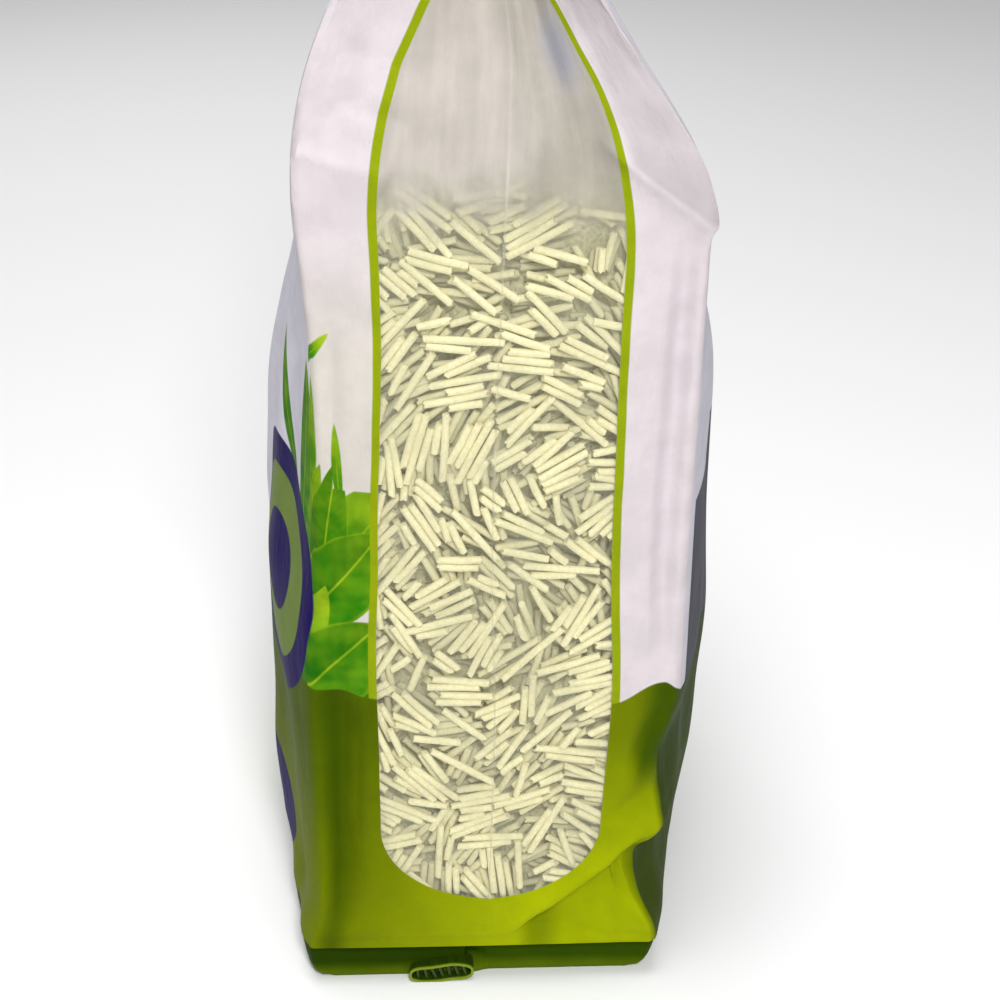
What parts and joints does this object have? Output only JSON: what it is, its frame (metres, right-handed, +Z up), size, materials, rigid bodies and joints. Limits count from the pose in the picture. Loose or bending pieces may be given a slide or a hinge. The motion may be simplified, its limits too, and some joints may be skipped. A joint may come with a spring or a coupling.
{
  "type": "cat litter bag",
  "caption": "Filled and sealed side-gusseted film bag of pressed plant-fibre litter pellets, with a clear window in one side panel, standing on its folded base.",
  "frame": {"origin": "on the floor under the middle of the bag, at the bottom centre of its bounding box", "axes": "+Z up, +Y along the width of the printed front panel, from the clear side panel to the plain one; the clear side panel faces -Y, the front panel -X and the back panel +X"},
  "size_m": [0.144, 0.194, 0.386],
  "materials": {
    "film": "satin printed laminate film, white with an olive green base band and a clear frosted window",
    "pellets": "matt pressed plant fibre, pale cream green"
  },
  "bodies": {
    "root": {"film_bag": "film", "litter_pellets": "pellets"}
  },
  "joints": []
}
